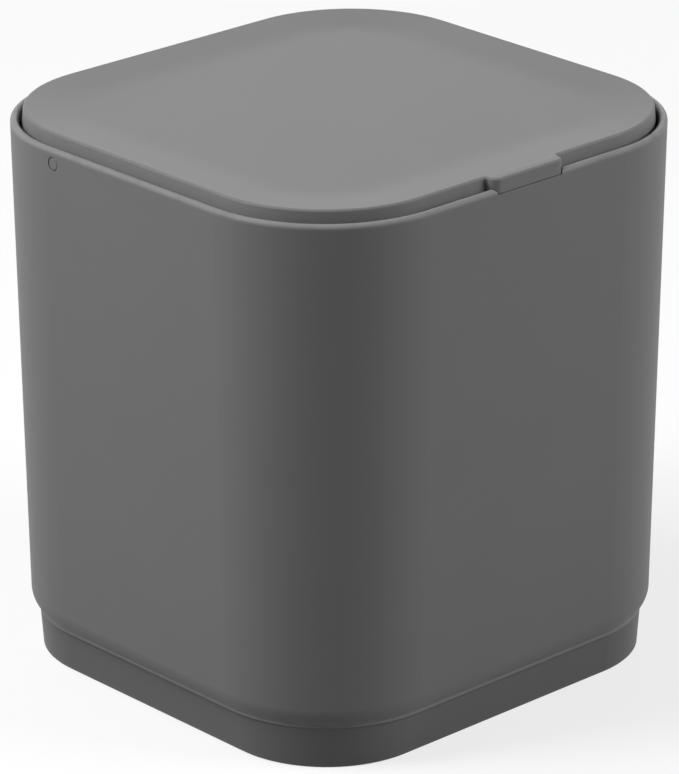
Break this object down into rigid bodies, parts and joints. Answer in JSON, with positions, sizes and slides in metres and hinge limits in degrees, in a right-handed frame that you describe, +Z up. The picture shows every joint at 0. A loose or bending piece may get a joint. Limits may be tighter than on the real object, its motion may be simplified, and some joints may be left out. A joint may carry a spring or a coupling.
{
  "type": "tabletop waste bin",
  "caption": "Small tapered plastic bin with rounded square corners, a stepped foot and a dished lid that tilts on side pins when its front thumb tab is lifted.",
  "frame": {"origin": "middle of the footprint, on the surface that the foot stands on", "axes": "+Z up, -Y to the front with the thumb tab, +X to the right seen from the front"},
  "size_m": [0.13, 0.1264, 0.1365],
  "materials": {
    "body_plastic": "satin moulded grey",
    "foot_plastic": "satin moulded grey",
    "lid_plastic": "fine matt moulded grey",
    "pin_plastic": "smooth moulded grey"
  },
  "bodies": {
    "tub": {"body_shell": "body_plastic", "foot_ring": "foot_plastic"},
    "tilting_lid": {"lid": "lid_plastic", "hinge_pin_left": "pin_plastic", "hinge_pin_right": "pin_plastic"}
  },
  "joints": [
    {"name": "lid_hinge", "type": "hinge", "parent": "tub", "child": "tilting_lid", "pos_m": [0, 0.0261, 0.1305], "axis": [-1, 0, 0], "range_deg": [0, 120]}
  ]
}
